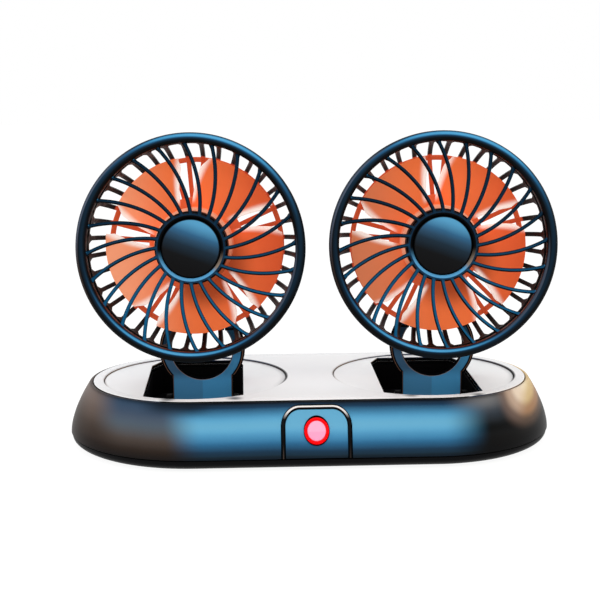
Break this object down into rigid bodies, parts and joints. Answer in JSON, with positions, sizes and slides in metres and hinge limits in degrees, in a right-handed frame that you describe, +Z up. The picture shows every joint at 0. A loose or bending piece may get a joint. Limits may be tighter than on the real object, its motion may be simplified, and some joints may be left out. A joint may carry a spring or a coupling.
{
  "type": "double table fan",
  "caption": "Small table fan with caged fan heads on folding forks that turn on one long rounded base with a front button.",
  "frame": {"origin": "middle of the footprint, on the surface that the feet stand on", "axes": "+X along the base to the right seen from the front, +Y to the back, +Z up"},
  "size_m": [0.238, 0.1245, 0.155],
  "materials": {
    "shell_paint": "metallic blue lacquer over plastic, turning bronze towards the ends",
    "bottom_plastic": "satin black",
    "trim_plastic": "glossy black",
    "deck_plastic": "glossy pale grey",
    "fork_paint": "satin blue paint",
    "guard_paint": "metallic dark blue",
    "rear_guard_plastic": "satin dark brown",
    "impeller_plastic": "satin orange",
    "tub_plastic": "satin black",
    "bushing_plastic": "plain acetal",
    "button_red": "glossy red",
    "button_pink": "pale pink, translucent looking",
    "board_green": "green circuit board",
    "foot_rubber": "matt black",
    "steel": "plain zinc-plated steel"
  },
  "bodies": {
    "base": {"base_upper_shell": "shell_paint", "deck_plate": "deck_plastic", "base_bottom_shell": "bottom_plastic", "control_panel": "shell_paint", "panel_trim": "trim_plastic", "power_socket": "steel", "button_bezel": "button_red", "push_switch": "tub_plastic", "control_board": "board_green", "board_screw_left": "steel", "board_screw_right": "steel", "foot_front_left": "foot_rubber", "foot_front_right": "foot_rubber", "foot_back_left": "foot_rubber", "foot_back_right": "foot_rubber", "base_screw_front_left": "steel", "base_screw_front_right": "steel", "base_screw_back_left": "steel", "base_screw_back_right": "steel", "left_swivel_bushing": "bushing_plastic", "right_swivel_bushing": "bushing_plastic"},
    "button": {"power_button": "button_pink", "switch_plunger": "tub_plastic"},
    "left_turntable": {"left_turntable_disc": "deck_plastic", "left_pivot_tub": "tub_plastic", "left_tub_screw_outer": "steel", "left_tub_screw_inner": "steel", "left_fold_pin": "steel"},
    "left_fork": {"left_fork": "fork_paint", "left_tilt_pin": "steel"},
    "left_head": {"left_front_guard": "guard_paint", "left_hub_cap": "guard_paint", "left_rear_guard": "rear_guard_plastic", "left_motor": "steel", "left_motor_cover": "tub_plastic", "left_cover_screw_left": "steel", "left_cover_screw_right": "steel"},
    "left_rotor": {"left_impeller": "impeller_plastic", "left_motor_shaft": "steel"},
    "right_turntable": {"right_turntable_disc": "deck_plastic", "right_pivot_tub": "tub_plastic", "right_tub_screw_outer": "steel", "right_tub_screw_inner": "steel", "right_fold_pin": "steel"},
    "right_fork": {"right_fork": "fork_paint", "right_tilt_pin": "steel"},
    "right_head": {"right_front_guard": "guard_paint", "right_hub_cap": "guard_paint", "right_rear_guard": "rear_guard_plastic", "right_motor": "steel", "right_motor_cover": "tub_plastic", "right_cover_screw_left": "steel", "right_cover_screw_right": "steel"},
    "right_rotor": {"right_impeller": "impeller_plastic", "right_motor_shaft": "steel"}
  },
  "joints": [
    {"name": "button_press", "type": "slide", "parent": "base", "child": "button", "axis": [0, 0.9229, -0.3851], "range_m": [0, 0.0008], "stiffness_N_per_m": 600, "springref_m": -0.0004},
    {"name": "left_swivel", "type": "hinge", "parent": "base", "child": "left_turntable", "pos_m": [-0.057, 0, 0.0311], "axis": [0, 0, 1], "range_deg": [-180, 3]},
    {"name": "left_fold", "type": "hinge", "parent": "left_turntable", "child": "left_fork", "pos_m": [-0.05333, -0.00421, 0.0181], "axis": [-0.9984, 0.0558, 0], "range_deg": [0, 45]},
    {"name": "left_tilt", "type": "hinge", "parent": "left_fork", "child": "left_head", "pos_m": [-0.05333, -0.00421, 0.0594], "axis": [-0.9984, 0.0558, 0], "range_deg": [-15, 45]},
    {"name": "left_spin", "type": "hinge", "parent": "left_head", "child": "left_rotor", "pos_m": [-0.0563, -0.05733, 0.1032], "axis": [0.0556, 0.9952, -0.0802], "continuous": true},
    {"name": "right_swivel", "type": "hinge", "parent": "base", "child": "right_turntable", "pos_m": [0.057, 0, 0.0311], "axis": [0, 0, 1], "range_deg": [-5, 180]},
    {"name": "right_fold", "type": "hinge", "parent": "right_turntable", "child": "right_fork", "pos_m": [0.06067, -0.00421, 0.0181], "axis": [-0.9984, 0.0558, 0], "range_deg": [0, 45]},
    {"name": "right_tilt", "type": "hinge", "parent": "right_fork", "child": "right_head", "pos_m": [0.06067, -0.00421, 0.0594], "axis": [-0.9984, 0.0558, 0], "range_deg": [-15, 45]},
    {"name": "right_spin", "type": "hinge", "parent": "right_head", "child": "right_rotor", "pos_m": [0.0577, -0.05733, 0.1032], "axis": [0.0556, 0.9952, -0.0802], "continuous": true}
  ]
}
